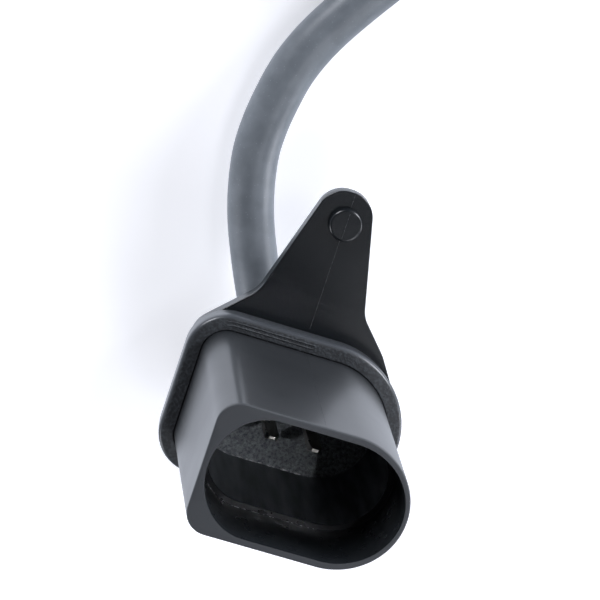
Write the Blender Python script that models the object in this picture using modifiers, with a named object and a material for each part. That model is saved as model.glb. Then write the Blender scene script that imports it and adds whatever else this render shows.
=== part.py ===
# Two-pin connector of a brake pad wear sensor, standing on its back, with its lead
# coiled behind it and the sensing head at the far end. Metres, +Z up.
from math import cos, pi, radians, sin, tan

import bmesh
import bpy
from mathutils import Matrix, Vector

# Clearance between pieces that touch on the real part.
GAP = 0.0003
# How far a cutter runs past what it cuts, and how near points are made one.
EPS = 0.0005
MERGE = 0.000001

# Steps along each curved stretch of an outline, and sides of round pieces.
NOSE_STEPS = 28
OVAL_STEPS = 26
CORNER_STEPS = 8
ROUND_SIDES = 32
SMALL_SIDES = 20
COIL_SIDES = 64
SPAN_STEPS = 12

# Mouth of the connector: flat left end with rounded corners, half oval right end.
MOUTH_WIDTH = 0.0240
MOUTH_HEIGHT = 0.0158
MOUTH_CORNER = 0.0027
MOUTH_NOSE = 0.00825
SHROUD_LENGTH = 0.0289
SHROUD_DRAFT = 0.00037
RIM_CHAMFER = 0.0002

# Oval cavity, a little narrower below the step that stops the mating plug.
CAVITY_DEPTH = 0.0284
CAVITY_HEIGHT = 0.0142
CAVITY_LEFT_LAND = 0.00068
CAVITY_RIGHT_WALL = 0.00054
CAVITY_LEFT_NOSE = 0.0063
CAVITY_RIGHT_NOSE = 0.00765
STEP_DEPTH = 0.0122
STEP_WIDTH = 0.0004
LEAD_IN = 0.00015

# Moulded rubber seal round the foot of the shroud.
SEAL_OVERHANG = 0.0023
SEAL_CORNER = 0.0052
SEAL_THICKNESS = 0.0036
SEAL_DRAFT = 0.00015
SEAL_RIB_HEIGHT = 0.00015
SEAL_RIB_WIDTH = 0.0005
SEAL_RIB_INSET = 0.0007

# Flange plate with the fixing ear and its peg.
PLATE_THICKNESS = 0.0020
PLATE_EDGE = 0.00015
PLATE_OVERHANG = 0.0016
EAR_TOP = 0.0280
EAR_TOP_RADIUS = 0.0033
EAR_TOP_LEFT = -0.00308
EAR_TOP_RIGHT = 0.00229
EAR_FOOT_LEFT = (-0.00747, 0.01318)
EAR_FOOT_RIGHT = (0.00585, 0.01365)
EAR_FOOT_RADIUS = 0.0040
SHOULDER_RIGHT = (0.0096, 0.0096)
SHOULDER_RADIUS = 0.0032
SHOULDER_SLOPE = 1.5
PEG_X = -0.0001
PEG_Y = 0.0240
PEG_RADIUS = 0.0020
PEG_HEIGHT = 0.0009
PEG_EDGE = 0.0003

# Back cover that closes the terminal chamber and carries the cable outlet.
COVER_HEIGHT = 0.0107
COVER_WIDTH = 0.0188
COVER_DEPTH = 0.0140
COVER_OFFSET = -0.0004
COVER_CORNER = 0.0032
COVER_WALL = 0.0014
COVER_EDGE = 0.0006
SPIGOT_HEIGHT = 0.0016

# Contacts: tinned blades with crimp barrels on insulated cores.
CONTACT_PITCH = 0.00533
CONTACT_SHIFT = 0.0001
BLADE_WIDTH = 0.0016
BLADE_THICKNESS = 0.0008
BLADE_REACH = 0.0103
BLADE_TAPER = 0.0007
BLADE_TIP_SHARE = 0.5
BARREL_RADIUS = 0.0013
BARREL_WALL = 0.0004
BARREL_LENGTH = 0.0033
BARREL_SLIT = 0.0006
CORE_RADIUS = 0.00085
CONDUCTOR_RADIUS = 0.0006
CORE_SPREAD = 0.0010
CORE_BENDS = (0.08, 0.45)

# Cable, its outlet in the back cover and the rubber grommet there.
CABLE_RADIUS = 0.0029
OUTLET_X = -0.0005
OUTLET_HEIGHT = 0.0047
OUTLET_TURN = radians(27.4)
OUTLET_REACH = 0.0086
OUTLET_RADIUS = 0.0046
GROMMET_NECK = 0.00365
GROMMET_NECK_LENGTH = 0.0022
GROMMET_LENGTH = 0.0024
GROMMET_ROOT = 0.0044
GROMMET_TIP = 0.0034

# The lead's route from the back cover to its coil, points chosen by hand.
CABLE_POINTS = [
    (-0.0033, 0.0054, 0.0047),
    (-0.0046, 0.0080, 0.0047),
    (-0.0060, 0.0107, 0.00465),
    (-0.0073, 0.0133, 0.0043),
    (-0.0085, 0.0159, 0.0038),
    (-0.0096, 0.0185, 0.00335),
    (-0.0106, 0.0214, 0.0031),
    (-0.0114, 0.0246, 0.0030),
    (-0.0119, 0.0278, 0.0030),
    (-0.0119, 0.0312, 0.0030),
    (-0.0115, 0.0348, 0.0030),
    (-0.0108, 0.0384, 0.0030),
    (-0.0096, 0.0418, 0.0030),
    (-0.0079, 0.0452, 0.0030),
    (-0.0057, 0.0488, 0.0030),
    (-0.0032, 0.0526, 0.0030),
]
CABLE_STEP = 0.0072

# Coil of the length that is put away: two turns side by side on the surface.
# The bearing is from the end of the loose stretch to the middle of the coil.
COIL_BEARING = radians(120)
COIL_OUTER_TURN = 0.0349
COIL_PITCH = 0.0059
COIL_TURNS = 2
COIL_START = radians(-31.4)
# The last stretch climbs on top of the turns: angle in degrees, radius, height.
TAIL_POINTS = [
    (84, 0.0257, 0.00925),
    (104, 0.0278, 0.0093),
    (124, 0.0293, 0.0097),
    (140, 0.0295, 0.0102),
]

# Sensing head, lying on the coil.
HEAD_TURN = radians(15.0)
SLEEVE_LENGTH = 0.0080
SLEEVE_TIP = 0.0036
SLEEVE_ROOT = 0.0040
SLEEVE_TAPER_SHARE = 0.7
HEAD_LENGTH = 0.0150
HEAD_WIDTH = 0.0090
HEAD_HEIGHT = 0.0080
HEAD_EDGE = 0.0008
NOSE_LENGTH = 0.0060
NOSE_WIDTH = 0.0056
NOSE_HEIGHT = 0.0046
NOSE_EDGE = 0.0005
LOOP_RADIUS = 0.0005
LOOP_REACH = 0.0009
LOOP_BEND_SHARE = 0.8
CLIP_THICKNESS = 0.0005
CLIP_LENGTH = 0.0070
CLIP_FLARE = 0.0012
CLIP_PLACE_SHARE = 0.5

# The shroud's axis in the part's frame, whose origin is below the middle of the connector.
AXIS_Y = (MOUTH_HEIGHT / 2 + SEAL_OVERHANG - EAR_TOP) / 2

# Heights that follow from the sizes above; the back cover stands on the surface.
PLATE_BACK = COVER_HEIGHT + GAP
PLATE_FRONT = PLATE_BACK + PLATE_THICKNESS
SEAL_BACK = PLATE_FRONT + GAP
SEAL_FRONT = SEAL_BACK + SEAL_THICKNESS
RIM = SEAL_FRONT + SHROUD_LENGTH
CAVITY_FLOOR = RIM - CAVITY_DEPTH
SPIGOT_BACK = PLATE_BACK - SPIGOT_HEIGHT
CABLE_BORE = CABLE_RADIUS + GAP
COIL_OUTSIDE = COIL_OUTER_TURN + CABLE_RADIUS - COIL_PITCH / 4
COIL_INSIDE = COIL_OUTER_TURN - COIL_TURNS * COIL_PITCH - CABLE_RADIUS
COIL_REACH = COIL_OUTSIDE + GAP + CABLE_RADIUS
COIL_X = CABLE_POINTS[-1][0] + COIL_REACH * cos(COIL_BEARING)
COIL_Y = CABLE_POINTS[-1][1] + COIL_REACH * sin(COIL_BEARING)


def clear_scene():
    for obj in list(bpy.data.objects):
        bpy.data.objects.remove(obj, do_unlink=True)


def collection(name, hidden=False):
    made = bpy.data.collections.new(name)
    bpy.context.scene.collection.children.link(made)
    made.hide_render = hidden
    return made


def srgb(code):
    """Linear colour of a six-digit sRGB hex code."""
    parts = [int(code[i : i + 2], 16) / 255 for i in (0, 2, 4)]
    return [p / 12.92 if p <= 0.04045 else ((p + 0.055) / 1.055) ** 2.4 for p in parts] + [1]


def material(name, code, roughness, metallic=0.0):
    made = bpy.data.materials.new(name)
    made.use_nodes = True
    shader = made.node_tree.nodes["Principled BSDF"]
    shader.inputs["Base Color"].default_value = srgb(code)
    shader.inputs["Roughness"].default_value = roughness
    shader.inputs["Metallic"].default_value = metallic
    return made


def finish(obj, finish_material):
    """Give a visible piece its material and smooth shading."""
    obj.data.materials.clear()
    obj.data.materials.append(finish_material)
    obj.data.shade_smooth()
    return obj


def add_mesh(name, bm, where):
    bmesh.ops.recalc_face_normals(bm, faces=bm.faces[:])
    mesh = bpy.data.meshes.new(name)
    bm.to_mesh(mesh)
    bm.free()
    obj = bpy.data.objects.new(name, mesh)
    where.objects.link(obj)
    return obj


def add_tool(obj):
    """Keep a helper solid out of the render; Booleans still read it."""
    obj.hide_render = True
    obj.display_type = "WIRE"
    return obj


def boolean(target, tool, operation):
    modifier = target.modifiers.new(tool.name, "BOOLEAN")
    modifier.operation = operation
    modifier.solver = "EXACT"
    modifier.object = add_tool(tool)


def bevel(obj, width, segments=2, angle=50):
    modifier = obj.modifiers.new("edge", "BEVEL")
    modifier.width = width
    modifier.segments = segments
    modifier.limit_method = "ANGLE"
    modifier.angle_limit = radians(angle)


def arc(cx, cy, a, b, start, end, steps):
    """Points of an oval arc from start to end, angles in degrees, both ends included."""
    turns = [radians(start + (end - start) * i / steps) for i in range(steps + 1)]
    return [(cx + a * cos(t), cy + b * sin(t)) for t in turns]


def mouth_outline(grow=0.0, corner=None):
    """The connector's D outline, grown outwards, anticlockwise from the lower right."""
    half_w, half_h = MOUTH_WIDTH / 2 + grow, MOUTH_HEIGHT / 2 + grow
    r = MOUTH_CORNER + grow if corner is None else corner
    nose = MOUTH_NOSE + grow
    points = arc(half_w - nose, 0, nose, half_h, -90, 90, NOSE_STEPS)
    points += arc(r - half_w, half_h - r, r, r, 90, 180, CORNER_STEPS)
    points += arc(r - half_w, r - half_h, r, r, 180, 270, CORNER_STEPS)
    return points


def cavity_outline(shrink=0.0):
    """The cavity's long oval, shrunk inwards, anticlockwise from the lower right."""
    left = CAVITY_LEFT_LAND - MOUTH_WIDTH / 2 + shrink
    right = MOUTH_WIDTH / 2 - CAVITY_RIGHT_WALL - shrink
    a_left, a_right = CAVITY_LEFT_NOSE - shrink, CAVITY_RIGHT_NOSE - shrink
    half = CAVITY_HEIGHT / 2 - shrink
    points = arc(right - a_right, 0, a_right, half, -90, 90, OVAL_STEPS)
    return points + arc(left + a_left, 0, a_left, half, 90, 270, OVAL_STEPS)


def rounded_outline(corners, steps=CORNER_STEPS):
    """A polygon, anticlockwise, with each corner (x, y, radius) made an arc."""
    points = []
    for i, (x, y, radius) in enumerate(corners):
        here = Vector((x, y))
        before = (Vector(corners[i - 1][:2]) - here).normalized()
        after = (Vector(corners[(i + 1) % len(corners)][:2]) - here).normalized()
        half = before.angle(after) / 2
        first = here + before * radius / tan(half)
        last = here + after * radius / tan(half)
        centre = here + (before + after).normalized() * radius / sin(half)
        turn = (first - centre).angle_signed(last - centre)
        for step in range(steps + 1):
            at = centre + Matrix.Rotation(-turn * step / steps, 2) @ (first - centre)
            points.append((at.x, at.y))
    return points


def loft(name, sections, where):
    """A closed solid through outlines with equal numbers of points, each at its height."""
    bm = bmesh.new()
    rings = []
    for outline, z in sections:
        verts = [bm.verts.new((x, y, z)) for x, y in outline]
        pairs = zip(verts, verts[1:] + verts[:1])
        rings.append([bm.edges.new(pair) for pair in pairs])
    for low, high in zip(rings, rings[1:]):
        bmesh.ops.bridge_loops(bm, edges=low + high)
    bmesh.ops.edgeloop_fill(bm, edges=rings[0])
    bmesh.ops.edgeloop_fill(bm, edges=rings[-1])
    return add_mesh(name, bm, where)


def prism(name, outline, low, high, where):
    return loft(name, [(outline, low), (outline, high)], where)


def cuboid(name, size, centre, where):
    bm = bmesh.new()
    bmesh.ops.create_cube(bm, size=1)
    bmesh.ops.scale(bm, vec=size, verts=bm.verts)
    bmesh.ops.translate(bm, vec=centre, verts=bm.verts)
    return add_mesh(name, bm, where)


def cylinder(name, radius, length, place, where, sides=ROUND_SIDES):
    """A cylinder along the Z axis of the given placing matrix, from its origin."""
    bm = bmesh.new()
    bmesh.ops.create_cone(
        bm, cap_ends=True, segments=sides, radius1=radius, radius2=radius, depth=length
    )
    bmesh.ops.translate(bm, vec=(0, 0, length / 2), verts=bm.verts)
    obj = add_mesh(name, bm, where)
    obj.matrix_world = place
    return obj


def turned(name, profile, place, where, steps=ROUND_SIDES):
    """A turned solid: a closed profile of (radius, height) swept round Z with a Screw."""
    bm = bmesh.new()
    verts = [bm.verts.new((r, 0, z)) for r, z in profile]
    for pair in zip(verts, verts[1:] + verts[:1]):
        bm.edges.new(pair)
    obj = add_mesh(name, bm, where)
    screw = obj.modifiers.new("turn", "SCREW")
    screw.steps = screw.render_steps = steps
    screw.use_normal_flip = True
    screw.use_merge_vertices = True
    screw.merge_threshold = MERGE
    obj.matrix_world = place
    return obj


def smooth_points(points, step):
    """Points about one step apart on a smooth curve through the given points."""
    knots = [Vector(p) for p in points]
    knots = [2 * knots[0] - knots[1]] + knots + [2 * knots[-1] - knots[-2]]
    fine = []
    for p0, p1, p2, p3 in zip(knots, knots[1:], knots[2:], knots[3:]):
        for i in range(SPAN_STEPS):
            t = i / SPAN_STEPS
            tangents = (p2 - p0) * t + (2 * p0 - 5 * p1 + 4 * p2 - p3) * t * t
            fine.append(p1 + (tangents + (3 * p1 - p0 - 3 * p2 + p3) * t**3) / 2)
    fine.append(knots[-2])
    total = sum((b - a).length for a, b in zip(fine, fine[1:]))
    count = max(2, round(total / step))
    made, walked, target = [fine[0]], 0.0, total / count
    for a, b in zip(fine, fine[1:]):
        walked += (b - a).length
        if walked >= target * len(made) and len(made) < count:
            made.append(b)
    return made + [fine[-1]]


def tube(name, points, radius, where, resolution=3):
    """A round wire or cable along the points, closed at its ends."""
    curve = bpy.data.curves.new(name, "CURVE")
    curve.dimensions = "3D"
    curve.bevel_depth = radius
    curve.bevel_resolution = resolution
    curve.use_fill_caps = True
    spline = curve.splines.new("POLY")
    spline.points.add(len(points) - 1)
    for knot, at in zip(spline.points, points):
        knot.co = (*at, 1)
    guide = bpy.data.objects.new(name + "_curve", curve)
    where.objects.link(guide)
    bpy.context.view_layer.update()
    graph = bpy.context.evaluated_depsgraph_get()
    mesh = bpy.data.meshes.new_from_object(guide.evaluated_get(graph))
    bpy.data.objects.remove(guide, do_unlink=True)
    bm = bmesh.new()
    bm.from_mesh(mesh)
    bmesh.ops.remove_doubles(bm, verts=bm.verts[:], dist=MERGE)
    bpy.data.meshes.remove(mesh)
    return add_mesh(name, bm, where)


def outlet_place(along=0.0):
    """The frame of the cable outlet: Z runs out of the back cover, along the cable."""
    out = Vector((-sin(OUTLET_TURN), cos(OUTLET_TURN), 0))
    start = Vector((OUTLET_X, 0, OUTLET_HEIGHT)) + out * along
    return Matrix.Translation(start) @ out.to_track_quat("Z", "Y").to_matrix().to_4x4()


def flange_outline():
    """Flange plate and ear in one outline, anticlockwise from the lower right."""
    left = -MOUTH_WIDTH / 2 - PLATE_OVERHANG
    right = MOUTH_WIDTH / 2 + PLATE_OVERHANG + GAP
    low = -MOUTH_HEIGHT / 2 - PLATE_OVERHANG
    shoulder_fall = (right - SHOULDER_RIGHT[0]) * SHOULDER_SLOPE
    return rounded_outline(
        [
            (right, low, MOUTH_HEIGHT / 2 + PLATE_OVERHANG - GAP),
            (right, SHOULDER_RIGHT[1] - shoulder_fall, SHOULDER_RADIUS),
            (*SHOULDER_RIGHT, SHOULDER_RADIUS),
            (*EAR_FOOT_RIGHT, EAR_FOOT_RADIUS),
            (EAR_TOP_RIGHT, EAR_TOP, EAR_TOP_RADIUS),
            (EAR_TOP_LEFT, EAR_TOP, EAR_TOP_RADIUS),
            (*EAR_FOOT_LEFT, EAR_FOOT_RADIUS),
            (left, EAR_FOOT_LEFT[1] + left - EAR_FOOT_LEFT[0], SEAL_CORNER - PLATE_OVERHANG),
            (left, low, SEAL_CORNER - PLATE_OVERHANG),
        ]
    )


def cover_outline(shrink=0.0):
    """The back cover's rounded oblong, shrunk inwards."""
    half_w, half_d = COVER_WIDTH / 2 - shrink, COVER_DEPTH / 2 - shrink
    low, high = COVER_OFFSET - half_d, COVER_OFFSET + half_d
    r = max(COVER_CORNER - shrink, GAP)
    corners = [(half_w, low), (half_w, high), (-half_w, high), (-half_w, low)]
    return rounded_outline([(x, y, r) for x, y in corners])


def make_housing(parts, tools):
    """One moulding: shroud, flange plate with ear, peg and the spigot at the back."""
    root = mouth_outline(SHROUD_DRAFT)
    housing = loft(
        "connector_housing",
        [
            (root, PLATE_BACK + PLATE_THICKNESS / 2),
            (root, SEAL_FRONT),
            (mouth_outline(), RIM - RIM_CHAMFER),
            (mouth_outline(-RIM_CHAMFER), RIM),
        ],
        parts,
    )
    plate = prism("flange_plate", flange_outline(), PLATE_BACK, PLATE_FRONT, tools)
    bevel(plate, PLATE_EDGE)
    boolean(housing, plate, "UNION")
    peg = cylinder(
        "peg",
        PEG_RADIUS,
        PEG_HEIGHT + PLATE_THICKNESS / 2,
        Matrix.Translation((PEG_X, PEG_Y, PLATE_FRONT - PLATE_THICKNESS / 2)),
        tools,
    )
    bevel(peg, PEG_EDGE)
    boolean(housing, peg, "UNION")
    inside = cover_outline(COVER_WALL + GAP)
    spigot = prism("spigot", inside, SPIGOT_BACK, PLATE_BACK + PLATE_THICKNESS / 2, tools)
    boolean(housing, spigot, "UNION")
    narrow = cavity_outline(STEP_WIDTH)
    cavity = loft(
        "cavity",
        [
            (narrow, CAVITY_FLOOR),
            (narrow, RIM - STEP_DEPTH - STEP_WIDTH / 2),
            (cavity_outline(), RIM - STEP_DEPTH),
            (cavity_outline(), RIM - LEAD_IN),
            (cavity_outline(-LEAD_IN), RIM),
            (cavity_outline(-LEAD_IN), RIM + EPS),
        ],
        tools,
    )
    boolean(housing, cavity, "DIFFERENCE")
    for side, x in contact_places():
        size = (
            BLADE_WIDTH + 2 * GAP,
            BLADE_THICKNESS + 2 * GAP,
            CAVITY_FLOOR - SPIGOT_BACK + 2 * EPS,
        )
        middle = (CAVITY_FLOOR + SPIGOT_BACK) / 2
        slot = cuboid("slot_" + side, size, (x, 0, middle), tools)
        boolean(housing, slot, "DIFFERENCE")
    return housing


def make_seal(parts, tools):
    """Flange seal: a D-shaped rubber ring with two fine ribs on its front face."""
    outer = mouth_outline(SEAL_OVERHANG, SEAL_CORNER)
    back = mouth_outline(SEAL_OVERHANG - SEAL_DRAFT, SEAL_CORNER - SEAL_DRAFT)
    seal = loft("flange_seal", [(back, SEAL_BACK), (outer, SEAL_FRONT)], parts)
    rib_inset = SEAL_OVERHANG - SEAL_RIB_INSET
    for i, grow in enumerate((rib_inset, rib_inset - 2 * SEAL_RIB_WIDTH)):
        corner = SEAL_CORNER - SEAL_OVERHANG + grow
        half = SEAL_RIB_WIDTH / 2
        rib = loft(
            f"seal_rib_{i}",
            [
                (mouth_outline(grow, corner), SEAL_FRONT - EPS),
                (mouth_outline(grow, corner), SEAL_FRONT),
                (mouth_outline(grow - half / 2, corner - half / 2), SEAL_FRONT + SEAL_RIB_HEIGHT),
            ],
            tools,
        )
        hole = prism(
            f"rib_hole_{i}",
            mouth_outline(grow - 2 * half, corner - 2 * half),
            SEAL_FRONT - 2 * EPS,
            SEAL_FRONT + 2 * EPS,
            tools,
        )
        boolean(rib, hole, "DIFFERENCE")
        boolean(seal, rib, "UNION")
    hole = prism(
        "seal_hole",
        mouth_outline(SHROUD_DRAFT + GAP),
        SEAL_BACK - EPS,
        SEAL_FRONT + 3 * EPS,
        tools,
    )
    boolean(seal, hole, "DIFFERENCE")
    return seal


def contact_places():
    half = CONTACT_PITCH / 2
    return (("left", CONTACT_SHIFT - half), ("right", CONTACT_SHIFT + half))


def make_contact(side, x, parts, tools):
    """A flat blade with a tapered tip and an open crimp barrel at its back."""
    tip = CAVITY_FLOOR + BLADE_REACH
    low = SPIGOT_BACK - GAP
    blade = [
        (half_w, half_t, z)
        for half_w, half_t, z in (
            (BLADE_WIDTH / 2, BLADE_THICKNESS / 2, low - BARREL_WALL / 2),
            (BLADE_WIDTH / 2, BLADE_THICKNESS / 2, tip - BLADE_TAPER),
            (
                BLADE_WIDTH / 2 * BLADE_TIP_SHARE,
                BLADE_THICKNESS / 2 * BLADE_TIP_SHARE,
                tip,
            ),
        )
    ]
    sections = [
        ([(x + w, -t), (x + w, t), (x - w, t), (x - w, -t)], z) for w, t, z in blade
    ]
    contact = loft("contact_" + side, sections, parts)
    barrel = turned(
        "barrel_" + side,
        [
            (BARREL_RADIUS - BARREL_WALL, -BARREL_LENGTH),
            (BARREL_RADIUS, -BARREL_LENGTH),
            (BARREL_RADIUS, 0),
            (BARREL_RADIUS - BARREL_WALL, 0),
        ],
        Matrix.Translation((x, 0, low)),
        tools,
        SMALL_SIDES,
    )
    web = cylinder(
        "barrel_top_" + side,
        BARREL_RADIUS - BARREL_WALL / 2,
        BARREL_WALL,
        Matrix.Translation((x, 0, low - BARREL_WALL)),
        tools,
        SMALL_SIDES,
    )
    boolean(contact, barrel, "UNION")
    boolean(contact, web, "UNION")
    slit = cuboid(
        "slit_" + side,
        (BARREL_SLIT, BARREL_RADIUS, BARREL_LENGTH * 2),
        (x, -BARREL_RADIUS, low - BARREL_LENGTH - BARREL_WALL),
        tools,
    )
    boolean(contact, slit, "DIFFERENCE")
    return contact


def make_core(side, x, parts, tools):
    """An insulated core from the cable's end up into its crimp barrel."""
    sign = -1 if side == "left" else 1
    top = SPIGOT_BACK - GAP
    low = top - BARREL_LENGTH - GAP
    frame = outlet_place()
    start = Vector(CABLE_POINTS[0])
    reach = (frame.inverted() @ start).z - GAP
    lateral = Vector((cos(OUTLET_TURN), sin(OUTLET_TURN), 0)) * CORE_SPREAD * sign
    out = frame.to_3x3() @ Vector((0, 0, 1))
    end = frame.translation + out * reach + lateral
    points = [
        Vector((x, 0, low)),
        Vector((x, 0, low - CORE_RADIUS / 2)),
        *(Vector((x, 0, OUTLET_HEIGHT)).lerp(end, share) for share in CORE_BENDS),
        end - out * CORE_RADIUS,
        end,
    ]
    core = tube("core_" + side, smooth_points(points, CORE_RADIUS), CORE_RADIUS, parts, 2)
    conductor = cylinder(
        "conductor_" + side,
        CONDUCTOR_RADIUS,
        top - BARREL_WALL - GAP - low + CORE_RADIUS / 2,
        Matrix.Translation((x, 0, low - CORE_RADIUS / 2)),
        tools,
        SMALL_SIDES,
    )
    boolean(core, conductor, "UNION")
    return core


def make_cover(parts, tools):
    """Back cover: a shallow box with a round boss where the cable leaves."""
    cover = prism("back_cover", cover_outline(), 0, COVER_HEIGHT, parts)
    bevel(cover, COVER_EDGE)
    boss = cylinder(
        "outlet_boss",
        OUTLET_RADIUS,
        OUTLET_REACH - COVER_WALL,
        outlet_place(COVER_WALL),
        tools,
    )
    boolean(cover, boss, "UNION")
    chamber = prism(
        "chamber", cover_outline(COVER_WALL), COVER_WALL, COVER_HEIGHT + EPS, tools
    )
    boolean(cover, chamber, "DIFFERENCE")
    bore = cylinder(
        "outlet_bore",
        GROMMET_NECK + GAP,
        OUTLET_REACH,
        outlet_place(EPS),
        tools,
    )
    boolean(cover, bore, "DIFFERENCE")
    return cover


def make_grommet(parts):
    """Cable grommet: a neck in the cover's boss and a short tapered sleeve outside."""
    profile = [
        (CABLE_BORE, -GROMMET_NECK_LENGTH),
        (GROMMET_NECK, -GROMMET_NECK_LENGTH),
        (GROMMET_NECK, GAP),
        (GROMMET_ROOT, GAP),
        (GROMMET_ROOT, GAP + GROMMET_LENGTH / 4),
        (GROMMET_TIP, GROMMET_LENGTH),
        (CABLE_BORE, GROMMET_LENGTH),
    ]
    return turned("cable_grommet", profile, outlet_place(OUTLET_REACH), parts)


def make_cable(parts):
    """The lead from the back cover to its coil."""
    points = smooth_points(CABLE_POINTS, CABLE_STEP)
    return tube("cable", points, CABLE_RADIUS, parts, 3)


def make_coil(parts):
    """The outer shape of the coiled length: a flat turned ring of two turns."""
    outer, inner = COIL_OUTSIDE, COIL_INSIDE
    edge = CABLE_RADIUS / 2
    low, high = GAP / 3, 2 * CABLE_RADIUS + GAP / 3
    profile = [
        (inner + edge, low),
        (outer - edge, low),
        (outer, low + edge),
        (outer, high - edge),
        (outer - edge, high),
        (inner + edge, high),
        (inner, high - edge),
        (inner, low + edge),
    ]
    place = Matrix.Translation((COIL_X, COIL_Y, 0))
    return turned("cable_coil", profile, place, parts, COIL_SIDES)


def on_coil(degrees, radius, height):
    """A point of the coil, at an angle past the end of its second turn."""
    angle = COIL_START + radians(degrees)
    return Vector((COIL_X + radius * cos(angle), COIL_Y + radius * sin(angle), height))


def head_place():
    """The head's frame: X from the cable to the tip, Z up."""
    turn = COIL_START + radians(TAIL_POINTS[-1][0]) + pi / 2 + HEAD_TURN
    return Matrix.Translation(on_coil(*TAIL_POINTS[-1])) @ Matrix.Rotation(turn, 4, "Z")


def make_tail(parts):
    """The end of the lead on top of the coil, up to the head's sleeve and into it."""
    points = [on_coil(*point) for point in TAIL_POINTS]
    points += [head_place() @ Vector((SLEEVE_LENGTH * share, 0, 0)) for share in (0.5, 1)]
    return tube("cable_tail", smooth_points(points, CABLE_STEP), CABLE_RADIUS, parts, 3)


def make_sleeve(parts):
    """Tapered rubber sleeve where the lead enters the sensing head."""
    profile = [
        (CABLE_BORE, 0),
        (SLEEVE_TIP, 0),
        (SLEEVE_ROOT, SLEEVE_LENGTH * SLEEVE_TAPER_SHARE),
        (SLEEVE_ROOT, SLEEVE_LENGTH),
        (CABLE_BORE, SLEEVE_LENGTH),
    ]
    place = head_place() @ Matrix.Rotation(pi / 2, 4, "Y")
    return turned("head_sleeve", profile, place, parts)


def make_head(parts, tools):
    """Moulded sensing head with a narrower nose, grooved for the wire loop."""
    start = SLEEVE_LENGTH + GAP
    body = cuboid(
        "sensor_head",
        (HEAD_LENGTH, HEAD_WIDTH, HEAD_HEIGHT),
        (start + HEAD_LENGTH / 2, 0, 0),
        parts,
    )
    bevel(body, HEAD_EDGE)
    nose = cuboid(
        "head_nose",
        (NOSE_LENGTH * 2, NOSE_WIDTH, NOSE_HEIGHT),
        (start + HEAD_LENGTH, 0, 0),
        tools,
    )
    bevel(nose, NOSE_EDGE)
    boolean(body, nose, "UNION")
    groove = tube("loop_groove", loop_points(), LOOP_RADIUS + GAP, tools, 2)
    boolean(body, groove, "DIFFERENCE")
    for obj in (body, nose, groove):
        obj.matrix_world = head_place()
    return body


def loop_points():
    """The wear loop: a wire down one flank of the nose, round its tip and back."""
    start = SLEEVE_LENGTH + GAP + HEAD_LENGTH
    tip = start + NOSE_LENGTH + LOOP_REACH
    half = NOSE_WIDTH / 2
    bend = half * LOOP_BEND_SHARE
    back = [Vector((start + GAP + LOOP_RADIUS, half, 0)), Vector((tip - bend, half, 0))]
    turn = [
        Vector((tip - bend + bend * sin(radians(a)), (half - bend) + bend * cos(radians(a)), 0))
        for a in range(15, 91, 15)
    ]
    side = back + turn
    return side + [Vector((p.x, -p.y, p.z)) for p in reversed(side)]


def make_loop(parts):
    loop = tube("wear_loop", loop_points(), LOOP_RADIUS, parts, 2)
    loop.matrix_world = head_place()
    return loop


def make_clip(parts):
    """Spring clip: a steel strip bent over the head, with flared feet."""
    half = HEAD_WIDTH / 2 + GAP + CLIP_THICKNESS / 2
    top = HEAD_HEIGHT / 2 + GAP + CLIP_THICKNESS / 2
    foot = CLIP_THICKNESS / 2 - HEAD_HEIGHT / 2 + CLIP_FLARE
    bend = CLIP_THICKNESS * 2
    path = [(half + CLIP_FLARE, foot - CLIP_FLARE), (half, foot), (half, top - bend)]
    path += [
        (half - bend + bend * cos(radians(a)), top - bend + bend * sin(radians(a)))
        for a in (30, 60, 90)
    ]
    path += [(-y, z) for y, z in reversed(path)]
    bm = bmesh.new()
    middle = SLEEVE_LENGTH + GAP + HEAD_LENGTH * CLIP_PLACE_SHARE
    near = [bm.verts.new((middle - CLIP_LENGTH / 2, y, z)) for y, z in path]
    edges = [bm.edges.new(pair) for pair in zip(near, near[1:])]
    swept = bmesh.ops.extrude_edge_only(bm, edges=edges)["geom"]
    moved = [item for item in swept if isinstance(item, bmesh.types.BMVert)]
    bmesh.ops.translate(bm, vec=(CLIP_LENGTH, 0, 0), verts=moved)
    clip = add_mesh("spring_clip", bm, parts)
    wall = clip.modifiers.new("strip", "SOLIDIFY")
    wall.thickness = CLIP_THICKNESS
    wall.offset = 0
    wall.use_even_offset = True
    clip.matrix_world = head_place()
    return clip


def main():
    clear_scene()
    parts = collection("brake_pad_wear_sensor")
    tools = collection("cutters", hidden=True)
    nylon = material("black glass-filled nylon", "26292D", 0.42)
    nylon_back = material("black nylon cover", "232528", 0.5)
    rubber = material("grey-black seal rubber", "3A3D40", 0.75)
    grommet_rubber = material("black grommet rubber", "202225", 0.7)
    sheath = material("dark grey cable sheath", "4B5157", 0.5)
    tin = material("tinned brass", "C9C3B4", 0.28, 1.0)
    brown = material("brown core insulation", "5A3A28", 0.55)
    blue = material("blue core insulation", "2C4A78", 0.55)
    head_plastic = material("black moulded head", "1E2022", 0.5)
    spring = material("spring steel", "9A9C9E", 0.3, 1.0)
    enamel = material("enamelled loop wire", "8A4B22", 0.35, 0.6)

    finish(make_housing(parts, tools), nylon)
    finish(make_seal(parts, tools), rubber)
    for (side, x), insulation in zip(contact_places(), (brown, blue)):
        finish(make_contact(side, x, parts, tools), tin)
        finish(make_core(side, x, parts, tools), insulation)
    finish(make_cover(parts, tools), nylon_back)
    finish(make_grommet(parts), grommet_rubber)
    finish(make_cable(parts), sheath)
    finish(make_coil(parts), sheath)
    finish(make_tail(parts), sheath)
    finish(make_sleeve(parts), grommet_rubber)
    finish(make_head(parts, tools), head_plastic)
    finish(make_loop(parts), enamel)
    finish(make_clip(parts), spring)

    axis = bpy.data.objects.new("shroud_axis", None)
    parts.objects.link(axis)
    axis.location = (0, AXIS_Y, 0)
    for obj in [*parts.objects, *tools.objects]:
        if obj is not axis:
            obj.parent = axis


main()
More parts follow.
